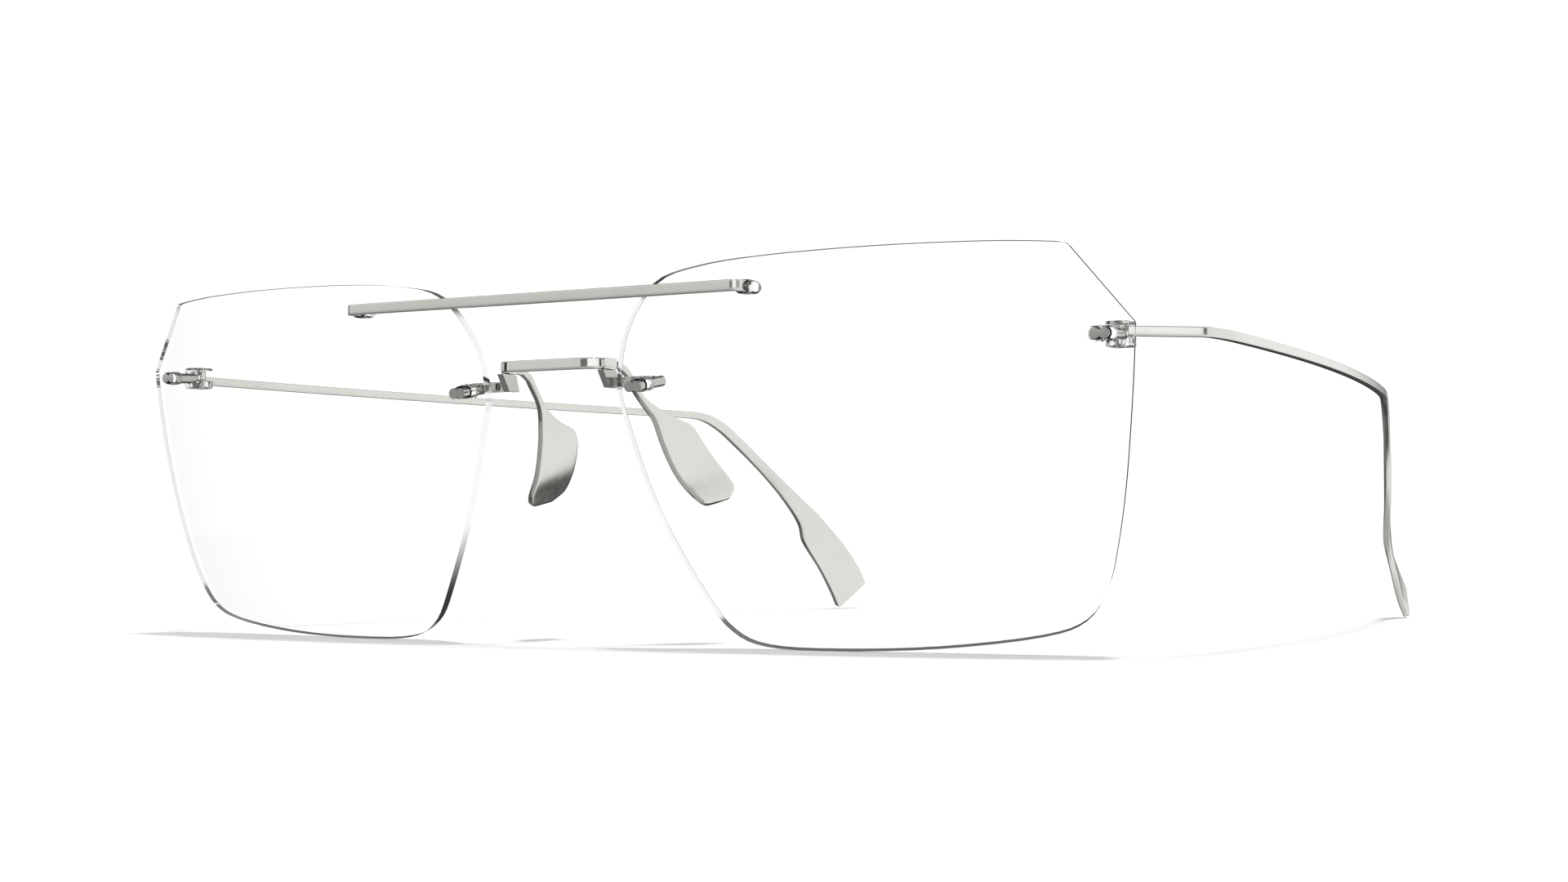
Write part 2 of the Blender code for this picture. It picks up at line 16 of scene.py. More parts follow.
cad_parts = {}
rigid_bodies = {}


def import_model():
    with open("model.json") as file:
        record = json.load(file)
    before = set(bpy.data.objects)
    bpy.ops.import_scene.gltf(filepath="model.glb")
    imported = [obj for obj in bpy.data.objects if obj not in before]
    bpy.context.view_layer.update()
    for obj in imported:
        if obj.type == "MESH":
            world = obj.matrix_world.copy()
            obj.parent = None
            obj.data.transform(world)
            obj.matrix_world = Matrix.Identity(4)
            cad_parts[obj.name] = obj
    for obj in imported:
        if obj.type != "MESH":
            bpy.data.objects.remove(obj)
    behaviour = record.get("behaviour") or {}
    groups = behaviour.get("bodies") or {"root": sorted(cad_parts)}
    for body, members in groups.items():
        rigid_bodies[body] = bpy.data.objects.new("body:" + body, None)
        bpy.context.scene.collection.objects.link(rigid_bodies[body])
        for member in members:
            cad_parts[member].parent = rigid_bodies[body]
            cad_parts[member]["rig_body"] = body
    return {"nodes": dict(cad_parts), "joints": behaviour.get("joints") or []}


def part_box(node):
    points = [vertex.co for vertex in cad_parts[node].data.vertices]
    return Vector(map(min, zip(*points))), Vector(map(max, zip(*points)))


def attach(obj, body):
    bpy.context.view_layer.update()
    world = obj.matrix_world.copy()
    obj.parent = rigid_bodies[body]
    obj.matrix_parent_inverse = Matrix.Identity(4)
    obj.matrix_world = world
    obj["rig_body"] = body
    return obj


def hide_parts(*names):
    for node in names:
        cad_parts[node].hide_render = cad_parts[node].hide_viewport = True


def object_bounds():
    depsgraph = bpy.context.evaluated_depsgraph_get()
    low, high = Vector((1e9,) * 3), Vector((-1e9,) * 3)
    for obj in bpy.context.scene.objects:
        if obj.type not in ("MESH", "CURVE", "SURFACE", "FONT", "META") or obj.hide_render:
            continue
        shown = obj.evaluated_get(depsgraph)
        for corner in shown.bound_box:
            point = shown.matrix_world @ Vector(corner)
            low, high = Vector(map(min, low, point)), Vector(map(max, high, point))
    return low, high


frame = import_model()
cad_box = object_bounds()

# %% [markdown]
# ## Units and the two halves
# The pieces are about a millimetre thick, so sizes are written in millimetres and multiplied by MM. The
# object is symmetric about the plane x = 0. Most steps are a loop over the two sides, and a side is a sign
# on x.

# %% units and sides
MM = 0.001
SIDES = {"right": 1.0, "left": -1.0}


def spot(x, y, z):
    """A point given in millimetres."""
    return Vector((x, y, z)) * MM


low, high = cad_box
print("whole object", [round(1000 * (b - a), 1) for a, b in zip(low, high)], "mm")

# %% [markdown]
# ## Camera
# The glasses are seen from a little above the table, from the front and to the right, with a long lens. A
# low camera is what makes the bar, the bridge and the temples spread out instead of lying on each other.

# %% camera
FOCAL_LENGTH = 56.25
SENSOR_WIDTH = 36.0
NEAREST_SEEN = 0.01
CAMERA_SPOT = (161.3, -284.67, 11.4)
CAMERA_PITCH = math.radians(92.33)
CAMERA_TURN = math.radians(31.80)

camera_data = bpy.data.cameras.new("camera")
camera_data.lens = FOCAL_LENGTH
camera_data.sensor_width = SENSOR_WIDTH
camera_data.clip_start = NEAREST_SEEN
camera = bpy.data.objects.new("camera", camera_data)
camera.location = spot(*CAMERA_SPOT)
camera.rotation_euler = (CAMERA_PITCH, 0.0, CAMERA_TURN)
bpy.context.scene.collection.objects.link(camera)
bpy.context.scene.camera = camera
print("camera", round(camera_data.lens, 2), "mm lens")

# %% [markdown]
# ## Surface effects shared by the materials
# Satin titanium is not one grey. Its finish is a very fine matt grain, its colour drifts a little along the
# wire, and handling leaves some areas glossier than others. One node group makes all of that from noise in
# the object's own coordinates, and each metal places it with its own numbers.

# %% metal grain group
NOISE_LOW = 0.3
NOISE_HIGH = 0.7
GRAIN_BUMP = 0.001
DRIFT_SCALE = 0.12
WEAR_SCALE = 0.9
SAND_SCALE = 14.0


def new_group(name, inputs, outputs):
    """An empty shader node group with named sockets, as the group, its input node and its output node."""
    group = bpy.data.node_groups.new(name, "ShaderNodeTree")
    for label, kind, value in inputs:
        socket = group.interface.new_socket(label, in_out="INPUT", socket_type=kind)
        socket.default_value = value
    for label, kind in outputs:
        group.interface.new_socket(label, in_out="OUTPUT", socket_type=kind)
    entry = group.nodes.new("NodeGroupInput")
    leave = group.nodes.new("NodeGroupOutput")
    return group, entry, leave


def noise_node(tree, scale, detail, coordinates, stretch=(1.0, 1.0, 1.0)):
    """Noise whose scale is in patches per millimetre, stretched along the axes."""
    mapping = tree.nodes.new("ShaderNodeMapping")
    mapping.inputs["Scale"].default_value = stretch
    noise = tree.nodes.new("ShaderNodeTexNoise")
    noise.inputs["Scale"].default_value = scale / MM
    noise.inputs["Detail"].default_value = detail
    tree.links.new(coordinates, mapping.inputs["Vector"])
    tree.links.new(mapping.outputs["Vector"], noise.inputs["Vector"])
    return noise.outputs["Fac"]


def spread(tree, value, low_end, high_end):
    """Turns noise, which stays between NOISE_LOW and NOISE_HIGH, into a range of its own."""
    node = tree.nodes.new("ShaderNodeMapRange")
    node.inputs["From Min"].default_value = NOISE_LOW
    node.inputs["From Max"].default_value = NOISE_HIGH
    for label, end in (("To Min", low_end), ("To Max", high_end)):
        if isinstance(end, float):
            node.inputs[label].default_value = end
        else:
            tree.links.new(end, node.inputs[label])
    tree.links.new(value, node.inputs["Value"])
    return node.outputs["Result"]


grain, grain_in, grain_out = new_group(
    "metal_grain",
    [("Light Colour", "NodeSocketColor", (0.6, 0.6, 0.6, 1.0)),
     ("Dark Colour", "NodeSocketColor", (0.5, 0.5, 0.5, 1.0)),
     ("Smooth", "NodeSocketFloat", 0.2), ("Matt", "NodeSocketFloat", 0.3), ("Depth", "NodeSocketFloat", 0.1)],
    [("Colour", "NodeSocketColor"), ("Roughness", "NodeSocketFloat"), ("Normal", "NodeSocketVector")])
place = grain.nodes.new("ShaderNodeTexCoord").outputs["Object"]
drift = noise_node(grain, DRIFT_SCALE, 3.0, place)
wear = noise_node(grain, WEAR_SCALE, 4.0, place)
sand = noise_node(grain, SAND_SCALE, 2.0, place)
tone = grain.nodes.new("ShaderNodeMix")
tone.data_type = "RGBA"
grain.links.new(spread(grain, drift, 0.0, 1.0), tone.inputs["Factor"])
grain.links.new(grain_in.outputs["Dark Colour"], tone.inputs["A"])
grain.links.new(grain_in.outputs["Light Colour"], tone.inputs["B"])
bump = grain.nodes.new("ShaderNodeBump")
bump.inputs["Distance"].default_value = GRAIN_BUMP * MM
grain.links.new(grain_in.outputs["Depth"], bump.inputs["Strength"])
grain.links.new(sand, bump.inputs["Height"])
grain.links.new(tone.outputs["Result"], grain_out.inputs["Colour"])
gloss = spread(grain, wear, grain_in.outputs["Smooth"], grain_in.outputs["Matt"])
grain.links.new(gloss, grain_out.inputs["Roughness"])
grain.links.new(bump.outputs["Normal"], grain_out.inputs["Normal"])
print("group", grain.name, "with", len(grain.nodes), "nodes")

# %% [markdown]
# Clear plastic and coated lenses look perfect from afar, and close up they carry a faint haze of wiping
# marks. The second group gives a roughness that varies between two small values, and a very shallow
# waviness such as a moulded surface has.

# %% clear haze group
WIPE_SCALE = 0.25
WIPE_STRETCH = (1.0, 1.0, 0.35)
WAVE_SCALE = 0.7
WAVE_BUMP = 0.02

haze, haze_in, haze_out = new_group(
    "clear_haze",
    [("Smooth", "NodeSocketFloat", 0.0), ("Hazy", "NodeSocketFloat", 0.03),
     ("Depth", "NodeSocketFloat", 0.05)],
    [("Roughness", "NodeSocketFloat"), ("Normal", "NodeSocketVector")])
place = haze.nodes.new("ShaderNodeTexCoord").outputs["Object"]
wipes = noise_node(haze, WIPE_SCALE, 5.0, place, stretch=WIPE_STRETCH)
waves = noise_node(haze, WAVE_SCALE, 1.0, place)
bump = haze.nodes.new("ShaderNodeBump")
bump.inputs["Distance"].default_value = WAVE_BUMP * MM
haze.links.new(haze_in.outputs["Depth"], bump.inputs["Strength"])
haze.links.new(waves, bump.inputs["Height"])
blur = spread(haze, wipes, haze_in.outputs["Smooth"], haze_in.outputs["Hazy"])
haze.links.new(blur, haze_out.inputs["Roughness"])
haze.links.new(bump.outputs["Normal"], haze_out.inputs["Normal"])
print("group", haze.name, "with", len(haze.nodes), "nodes")

# %% [markdown]
# ## The metal finishes
# The strips are satin, the bridge and the eyes of the temples are brighter, and the pins and their mounts
# are polished metal with a darkened colour, which is painted shade standing in for the dark surroundings they
# reflect. The ground rim of a lens throws light back inside like a mirror, so it gets a polished finish too.
# All four use the same grain group with their own colours, gloss and depth.

# %% metals
def shader_of(material):
    """The surface shader of a material, which is made if the material is new."""
    material.use_nodes = True
    return material.node_tree.nodes["Principled BSDF"]


def metal(name, light, dark, smooth, matt, depth):
    """A metal between two colours and two roughnesses, with a grain of the given depth."""
    material = bpy.data.materials.new(name)
    shader = shader_of(material)
    tree = material.node_tree
    effect = tree.nodes.new("ShaderNodeGroup")
    effect.node_tree = grain
    for label, value in (("Light Colour", light), ("Dark Colour", dark), ("Smooth", smooth), ("Matt", matt),
                         ("Depth", depth)):
        effect.inputs[label].default_value = value
    shader.inputs["Metallic"].default_value = 1.0
    for source, target in (("Colour", "Base Color"), ("Roughness", "Roughness"), ("Normal", "Normal")):
        tree.links.new(effect.outputs[source], shader.inputs[target])
    return material


satin_titanium = metal(
    "satin_titanium", (0.62, 0.62, 0.585, 1.0), (0.58, 0.58, 0.545, 1.0), smooth=0.17, matt=0.22, depth=0.30)
bright_titanium = metal(
    "bright_titanium", (0.64, 0.635, 0.61, 1.0), (0.60, 0.595, 0.57, 1.0), smooth=0.05, matt=0.09, depth=0.10)
# painted shade: the darker colour of this titanium stands in for dark surroundings reflected in the pins and
# mounts
pin_titanium_painted_shade = metal(
    "pin_titanium_painted_shade", (0.48, 0.475, 0.46, 1.0), (0.40, 0.395, 0.38, 1.0), smooth=0.06, matt=0.12, depth=0.10)
polished_rim = metal(
    "polished_rim", (0.79, 0.80, 0.80, 1.0), (0.72, 0.73, 0.73, 1.0), smooth=0.04, matt=0.10, depth=0.05)
print("metals", satin_titanium.name, bright_titanium.name, pin_titanium_painted_shade.name, polished_rim.name)

# %% [markdown]
# The clear materials are glass to the shader: full transmission, with the refraction of the real plastic.
# The lens has a thin coat against reflections, so its reflections are tinted down to about a third.

# %% clear materials
def clear(name, tint, refraction, smooth, hazy, depth):
    """A clear material whose roughness varies between two values, with a waviness of the given depth."""
    material = bpy.data.materials.new(name)
    shader = shader_of(material)
    tree = material.node_tree
    effect = tree.nodes.new("ShaderNodeGroup")
    effect.node_tree = haze
    for label, value in (("Smooth", smooth), ("Hazy", hazy), ("Depth", depth)):
        effect.inputs[label].default_value = value
    shader.inputs["Base Color"].default_value = tint
    shader.inputs["Transmission Weight"].default_value = 1.0
    shader.inputs["IOR"].default_value = refraction
    for source, target in (("Roughness", "Roughness"), ("Normal", "Normal")):
        tree.links.new(effect.outputs[source], shader.inputs[target])
    return material


lens_plastic = clear(
    "lens_plastic", (1.0, 1.0, 1.0, 1.0), refraction=1.50, smooth=0.0, hazy=0.004, depth=0.0)
clear_polymer = clear(
    "clear_polymer", (0.88, 0.885, 0.87, 1.0), refraction=1.47, smooth=0.01, hazy=0.05, depth=0.25)
shader_of(lens_plastic).inputs["Specular Tint"].default_value = (0.28, 0.30, 0.32, 1.0)
print("clear materials", lens_plastic.name, clear_polymer.name)

# %% [markdown]
# ## Turning solids into finished pieces
# A solid node is made of loose triangles. A copy of it is merged into a closed mesh, and the flat triangles
# are joined into whole faces. Then its edges can be rounded, as tumbling rounds stamped titanium. A
# finished piece rides on the same body as its solid, and replaces it.

# %% helpers for finished pieces
SHARP = math.radians(32.0)
STEEP = math.radians(60.0)
SAME_SPOT = 0.001
COPLANAR = math.radians(0.4)


def merged_copy(node):
    """A closed copy of a solid node, with its coplanar triangles joined."""
    shape = bmesh.new()
    shape.from_mesh(frame["nodes"][node].data)
    bmesh.ops.remove_doubles(shape, verts=shape.verts, dist=SAME_SPOT * MM)
    bmesh.ops.dissolve_limit(shape, angle_limit=COPLANAR, verts=shape.verts, edges=shape.edges)
    return shape


def round_edges(shape, edges, width, segments):
    """Rounds edges; width is in millimetres."""
    bmesh.ops.bevel(shape, geom=list(edges), offset=width * MM, offset_type="OFFSET", affect="EDGES",
                    segments=segments, profile=0.5, material=-1, clamp_overlap=True)


def sharp_edges(shape, angle=SHARP):
    """The edges where two faces meet at more than the given angle."""
    return [edge for edge in shape.edges if edge.is_manifold and edge.calc_face_angle() > angle]


def finished(shape, name, material, node, subdivide=0):
    """Makes the piece's object, gives it its finish, and puts it on the body that its solid rides on."""
    bmesh.ops.recalc_face_normals(shape, faces=shape.faces)
    mesh = bpy.data.meshes.new(name)
    shape.to_mesh(mesh)
    shape.free()
    mesh.materials.append(material)
    mesh.shade_smooth()
    piece = bpy.data.objects.new(name, mesh)
    bpy.context.scene.collection.objects.link(piece)
    if subdivide:
        smooth = piece.modifiers.new("smooth", "SUBSURF")
        smooth.levels = subdivide
        smooth.render_levels = subdivide
    else:
        mesh.set_sharp_from_angle(angle=SHARP)
        flat = piece.modifiers.new("flat faces", "WEIGHTED_NORMAL")
        flat.keep_sharp = True
    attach(piece, frame["nodes"][node]["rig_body"])
    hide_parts(node)
    print(name, "-", len(mesh.polygons), "faces")
    return piece


# %% [markdown]
# ## Strips: brow bar and bridge
# Both are titanium strip on edge, bent at two places. The bar's ends turn back into the lenses with a tight
# bend, and the bridge has wide polished bends. A strip is a chain of four-sided rings, so its long edges
# are rounded first and the whole chain is then smoothed by subdivision, which keeps the faces flat between
# the rounded edges. The bends of the bar are creased, and the ends of its legs are round like the pockets
# they lie in.

# %% strips
EDGE = 0.13
SLACK = 0.01
LEVEL_SLACK = 0.02
SHALLOWEST_BEND = math.radians(12)
STEEPEST_BEND = math.radians(50)
BEND_CREASE = 0.8
LEG_ROUNDING = 0.45


def strip_copy(node):
    """A merged copy in which every ring of the strip is four-sided faces."""
    shape = bmesh.new()
    shape.from_mesh(frame["nodes"][node].data)
    bmesh.ops.remove_doubles(shape, verts=shape.verts, dist=SAME_SPOT * MM)
    bmesh.ops.join_triangles(shape, faces=shape.faces, angle_face_threshold=STEEP,
                             angle_shape_threshold=math.pi)
    return shape


for node, metal_finish in (("brow_bar", satin_titanium), ("bridge", bright_titanium)):
    strip = strip_copy(node)
    crease = strip.edges.layers.float.new("crease_edge")
    if node == "brow_bar":
        rear = max(v.co.y for v in strip.verts) - SLACK * MM
        leg_ends = [e for e in strip.edges if min(v.co.y for v in e.verts) > rear
                    and abs(e.verts[0].co.z - e.verts[1].co.z) < SLACK * MM]
        for edge in strip.edges:
            if SHALLOWEST_BEND < edge.calc_face_angle() < STEEPEST_BEND:
                edge[crease] = BEND_CREASE
        round_edges(strip, leg_ends, LEG_ROUNDING, 4)
    round_edges(strip, sharp_edges(strip, STEEP), EDGE, 2)
    finished(strip, f"finished_{node}", metal_finish, node, subdivide=2)

# %% [markdown]
# ## Nose pads
# Each pad is cut and bent from one sheet: a narrow arm from the bridge that widens into a leaf, which lies
# against the side of the nose and turns outwards at its lower edge. The corners of the leaf are well
# rounded. The short edges that cross the thickness at a corner are rounded first with a large radius, then
# all the others.

# %% nose pads
PAD_CORNER = 0.7
PAD_THICKNESS = 0.75
LEAF_TOP = 25.0
FOLD_CREASE = 0.75

for side in SIDES:
    pad = strip_copy(f"nose_pad_{side}")
    crease = pad.edges.layers.float.new("crease_edge")
    corners = [e for e in sharp_edges(pad) if abs(e.calc_length() - PAD_THICKNESS * MM) < LEVEL_SLACK * MM
               and min(v.co.z for v in e.verts) < LEAF_TOP * MM]
    for edge in pad.edges:
        if edge.is_manifold and SHALLOWEST_BEND < edge.calc_face_angle() < STEEPEST_BEND:
            edge[crease] = FOLD_CREASE
    round_edges(pad, corners, PAD_CORNER, 4)
    round_edges(pad, sharp_edges(pad, STEEPEST_BEND), EDGE, 2)
    finished(pad, f"finished_nose_pad_{side}", satin_titanium, f"nose_pad_{side}",
             subdivide=2)

# %% [markdown]
# ## Temples
# A temple is one wire with an eye at the front, a bow along the head, a bend behind the ear and a flat tip.
# The wire is the strip again. Its eye is cut off the copy and made new as a ring: a rectangle spun round
# the hinge's axis, because a spun ring is truly round.

# %% temples
EYE_RADIUS = 0.80
EYE_BORE = 0.42
EYE_HEIGHT = 1.05
EYE_EDGE = 0.08
TIP_CORNER = 0.45
TIP_TOP = 6.0
TIP_CORNER_LENGTH = 1.1
WIRE_DIRECTION = (0.749, 0.662)
CUT_FROM_PIVOT = 0.86
ROOT_LENGTH = 0.3
CUT_TOLERANCE = math.radians(2.0)


def spun_ring(shape, centre, inner, outer, height, steps=40):
    """A ring made from a rectangle that is spun round an upright axis through the centre."""
    middle = Vector(((inner + outer) / 2 * MM, 0.0, 0.0))
    upright = Matrix.Translation(middle) @ Matrix.Rotation(math.pi / 2, 4, "X")
    section = bmesh.ops.create_grid(shape, x_segments=1, y_segments=1, size=0.5, matrix=upright)["verts"]
    bmesh.ops.scale(shape, verts=section, vec=((outer - inner) * MM, 1.0, height * MM),
                    space=Matrix.Translation(-middle))
    faces = {face for vert in section for face in vert.link_faces}
    edges = {edge for vert in section for edge in vert.link_edges}
    bmesh.ops.translate(shape, verts=section, vec=centre)
    bmesh.ops.spin(shape, geom=list(edges), cent=centre, axis=(0, 0, 1), angle=math.tau, steps=steps,
                   use_merge=True)
    bmesh.ops.delete(shape, geom=list(faces), context="FACES_ONLY")
    bmesh.ops.remove_doubles(shape, verts=shape.verts, dist=SAME_SPOT * MM)


for joint in frame["joints"]:
    node = joint["child"]
    side = "right" if joint["pos_m"][0] > 0 else "left"
    pivot = Vector(joint["pos_m"])
    outwards = Vector((WIRE_DIRECTION[0] * SIDES[side], WIRE_DIRECTION[1], 0.0))
    wire = strip_copy(node)
    cut = bmesh.ops.bisect_plane(wire, geom=wire.verts[:] + wire.edges[:] + wire.faces[:],
                                 plane_co=pivot + outwards * CUT_FROM_PIVOT * MM, plane_no=outwards,
                                 clear_inner=True)
    rim = [part for part in cut["geom_cut"] if isinstance(part, bmesh.types.BMEdge)]
    rim_verts = list({vert for edge in rim for vert in edge.verts})
    bmesh.ops.dissolve_limit(wire, angle_limit=CUT_TOLERANCE, verts=rim_verts, edges=rim)
    rim = [edge for edge in wire.edges if edge.is_boundary]
    root = bmesh.ops.extrude_edge_only(wire, edges=rim)["geom"]
    bmesh.ops.translate(wire, verts=[p for p in root if isinstance(p, bmesh.types.BMVert)],
                        vec=-outwards * ROOT_LENGTH * MM)
    bmesh.ops.holes_fill(wire, edges=[edge for edge in wire.edges if edge.is_boundary], sides=0)
    corners = [e for e in sharp_edges(wire) if e.calc_length() < TIP_CORNER_LENGTH * MM
               and max(v.co.z for v in e.verts) < TIP_TOP * MM]
    round_edges(wire, corners, TIP_CORNER, 3)
    round_edges(wire, sharp_edges(wire, STEEPEST_BEND), EDGE, 2)
    finished(wire, f"finished_{node}", satin_titanium, node, subdivide=2)
    eye = bmesh.new()
    spun_ring(eye, pivot, EYE_BORE, EYE_RADIUS, EYE_HEIGHT)
    round_edges(eye, sharp_edges(eye, STEEP), EYE_EDGE, 2)
    finished(eye, f"temple_eye_{side}", bright_titanium, node)

# %% [markdown]
# ## Pins, posts and nose mounts
# These are the small hard parts: double pins through the lens, their strap and leg, and the upright hinge
# pins. Their solids have the right shape, so only the edges are broken. The bevel is kept narrow, because
# the whole pin is barely more than a millimetre wide.

# %% polished pins and mounts
PIN_EDGES = {"nose_mount": 0.12, "hinge_post": 0.08, "hinge_pin": 0.05}
PIN_SHARP = math.radians(40)

for side in SIDES:
    for part, width in PIN_EDGES.items():
        shape = merged_copy(f"{part}_{side}")
        round_edges(shape, sharp_edges(shape, PIN_SHARP), width, 2)
        # the pins, posts and mounts take the titanium that is darkened with painted shade
        finished(shape, f"finished_{part}_{side}", pin_titanium_painted_shade, f"{part}_{side}")

# %% [markdown]
# ## Clear plugs, sleeves and hinge blocks
# The plastic parts are small injection mouldings: a round-ended plug for each bar end, a double tube round
# each pair of pins, and the hinge block. Round edges matter most here, because they are what a clear part
# shows. The outline of the block's two ends and the end of the plug get a large radius first, then all the
# others a small one.

# %% clear mouldings
BLOCK_ROUNDING = 0.35
BLOCK_BORE = 0.8
PLUG_ROUNDING = 0.45
MOULDINGS = (("hinge_block", 0.12, 3), ("bar_plug", 0.05, 2))

for side in SIDES:
    for part, width, segments in MOULDINGS:
        shape = merged_copy(f"{part}_{side}")
        if part == "hinge_block":
            ends = [max(v.co.z for v in shape.verts), min(v.co.z for v in shape.verts)]
            middle = (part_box(f"hinge_pin_{side}")[0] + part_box(f"hinge_pin_{side}")[1]) / 2
            outline = [e for e in sharp_edges(shape, STEEP)
                       if min((v.co - middle).xy.length for v in e.verts) > BLOCK_BORE * MM
                       and min(max(abs(v.co.z - end) for v in e.verts) for end in ends) < LEVEL_SLACK * MM]
            round_edges(shape, outline, BLOCK_ROUNDING, 4)
        if part == "bar_plug":
            back = max(v.co.y for v in shape.verts) - SLACK * MM
            outline = [e for e in sharp_edges(shape) if min(v.co.y for v in e.verts) > back]
            round_edges(shape, outline, PLUG_ROUNDING, 5)
        round_edges(shape, sharp_edges(shape, STEEP), width, segments)
        finished(shape, f"finished_{part}_{side}", clear_polymer, f"{part}_{side}")

# %% [markdown]
# ## Lenses
# A lens is a thin shell of a sphere. It starts as one loop of points along its outline, which is drawn
# inwards in steps to the middle, each point lying on the sphere. The shell gets its thickness, and is then
# drilled for the sleeves and the plug. Its outline is followed with a smooth curve through the points where
# it turns.

# %% lens blank
LENS_RADIUS = 137.8
LENS_THICKNESS = 1.3
LENS_CENTRE = Vector((37.46, -71.47, 20.45))
LENS_WRAP = math.radians(6.26)
LENS_TILT = math.radians(9.89)
LENS_OUTLINE = (
    (28.60, 11.95), (28.84, 11.00), (28.35, 4.50), (27.30, -4.00), (26.00, -10.50), (24.70, -14.60),
    (22.40, -17.80), (17.80, -19.40), (7.00, -20.60), (-4.50, -21.05), (-12.60, -20.85), (-16.60, -19.30),
    (-19.60, -15.50), (-24.40, -6.50), (-27.55, 2.60), (-28.46, 7.20), (-27.00, 13.00), (-23.10, 17.70),
    (-17.80, 19.30), (-9.70, 20.10), (2.60, 20.46), (14.10, 20.30), (21.50, 19.80), (22.70, 19.40),
)
OUTLINE_STEPS = 4
LENS_RINGS = 14


def smooth_loop(points, steps):
    """Points of a smooth curve through the given ones; its two ends are joined with a straight line."""
    points = [Vector(p) for p in points]
    padded = [2 * points[0] - points[1]] + points + [2 * points[-1] - points[-2]]
    curve = []
    for a, b, c, d in zip(padded, padded[1:], padded[2:], padded[3:]):
        for step in range(steps):
            t = step / steps
            curve.append(0.5 * (2 * b + (c - a) * t + (2 * a - 5 * b + 4 * c - d) * t ** 2
                                + (3 * b - a - 3 * c + d) * t ** 3))
    return curve + [points[-1]]


def lens_frame(sign):
    """Turns the lens's own plane (outward, up, forward) into the place of the right or left lens."""
    turn = Matrix.Rotation(LENS_WRAP, 4, "Z") @ Matrix.Rotation(LENS_TILT, 4, "X")
    upright = Matrix(((1, 0, 0, 0), (0, 0, -1, 0), (0, 1, 0, 0), (0, 0, 0, 1)))
    return Matrix.Scale(sign, 4, (1, 0, 0)) @ Matrix.Translation(LENS_CENTRE * MM) @ turn @ upright


def on_sphere(x, y, depth=0.0):
    """A point of the lens's front surface, or of the one a little deeper, in the lens's own plane."""
    radius = LENS_RADIUS - depth
    return spot(x, y, math.sqrt(radius ** 2 - x ** 2 - y ** 2) - LENS_RADIUS)


def lens_blank():
    """The front surface of the right lens in its own plane, as rings of faces round the middle."""
    shape = bmesh.new()
    outline = smooth_loop(LENS_OUTLINE, OUTLINE_STEPS)
    loop = bmesh.ops.create_circle(shape, segments=len(outline), radius=1.0)["verts"]
    for vert, point in zip(loop, outline):
        vert.co = (point.x, point.y, 0.0)
    edges = shape.edges[:]
    for ring in range(LENS_RINGS - 1, 0, -1):
        grown = bmesh.ops.extrude_edge_only(shape, edges=edges)["geom"]
        edges = [part for part in grown if isinstance(part, bmesh.types.BMEdge)]
        verts = [part for part in grown if isinstance(part, bmesh.types.BMVert)]
        bmesh.ops.scale(shape, verts=verts, vec=Vector((1, 1, 1)) * (ring / (ring + 1)))
    middle = bmesh.ops.contextual_create(shape, geom=edges)["faces"]
    bmesh.ops.poke(shape, faces=middle)
    for vert in shape.verts:
        vert.co = on_sphere(vert.co.x, vert.co.y)
    bmesh.ops.recalc_face_normals(shape, faces=shape.faces)
    if sum(face.normal.z for face in shape.faces) < 0:
        bmesh.ops.reverse_faces(shape, faces=shape.faces)
    return shape


blank = lens_blank()
print("lens blank", len(blank.faces), "faces, ring count", LENS_RINGS)
blank.free()

# %% [markdown]
# The shell is made solid by hand: a second copy of the surface is set on the smaller sphere inside, and the
# two outlines are bridged. The rim gets a narrow safety bevel, as a grinder leaves. The three holes are cut
# with convex copies of the solids that fill them: a little larger for the plug, and a little smaller for
# the sleeves, which are pressed in.

# %% lens solids
RIM_BEVEL = 0.02
DRILL_LENGTHENING = 4
DRILL_COPLANAR = math.radians(1.0)


def lens_solid():
    """The undrilled right lens in its own plane."""
    shape = lens_blank()
    twin = bmesh.ops.duplicate(shape, geom=shape.verts[:] + shape.edges[:] + shape.faces[:])["geom"]
    inner = [part for part in twin if isinstance(part, bmesh.types.BMVert)]
    shrink = (LENS_RADIUS - LENS_THICKNESS) / LENS_RADIUS
    centre = spot(0, 0, -LENS_RADIUS)
    for vert in inner:
        vert.co = centre + (vert.co - centre) * shrink
    bmesh.ops.reverse_faces(shape, faces=[part for part in twin if isinstance(part, bmesh.types.BMFace)])
    rims = [edge for edge in shape.edges if edge.is_boundary]
    bmesh.ops.bridge_loops(shape, edges=rims)
    bmesh.ops.recalc_face_normals(shape, faces=shape.faces)
    round_edges(shape, sharp_edges(shape, STEEP), RIM_BEVEL, 1)
    return shape


def drill_for(node, gap):
    """A cutter made from a plug's or sleeve's filled outline, grown or shrunk by the gap and much longer."""
    shape = bmesh.new()
    shape.from_mesh(frame["nodes"][node].data)
    hull = bmesh.ops.convex_hull(shape, input=shape.verts)
    spare = hull["geom_interior"] + hull["geom_unused"]
    inside = {part for part in spare if isinstance(part, bmesh.types.BMVert)}
    bmesh.ops.delete(shape, geom=list(inside), context="VERTS")
    bmesh.ops.remove_doubles(shape, verts=shape.verts, dist=SAME_SPOT * MM)
    bmesh.ops.dissolve_limit(shape, angle_limit=DRILL_COPLANAR, verts=shape.verts, edges=shape.edges)
    along = max(shape.faces, key=lambda face: face.calc_area()).normal.copy()
    middle = sum((v.co for v in shape.verts), Vector()) / len(shape.verts)
    for vert in shape.verts:
        offset = vert.co - middle
        across = offset - along * offset.dot(along)
        lengthwise = along * offset.dot(along) * DRILL_LENGTHENING
        vert.co = middle + lengthwise + across * (1 + gap * MM / across.length)
    bmesh.ops.recalc_face_normals(shape, faces=shape.faces)
    mesh = bpy.data.meshes.new(f"drill_{node}")
    shape.to_mesh(mesh)
    shape.free()
    drill = bpy.data.objects.new(mesh.name, mesh)
    bpy.context.scene.collection.objects.link(drill)
    return drill


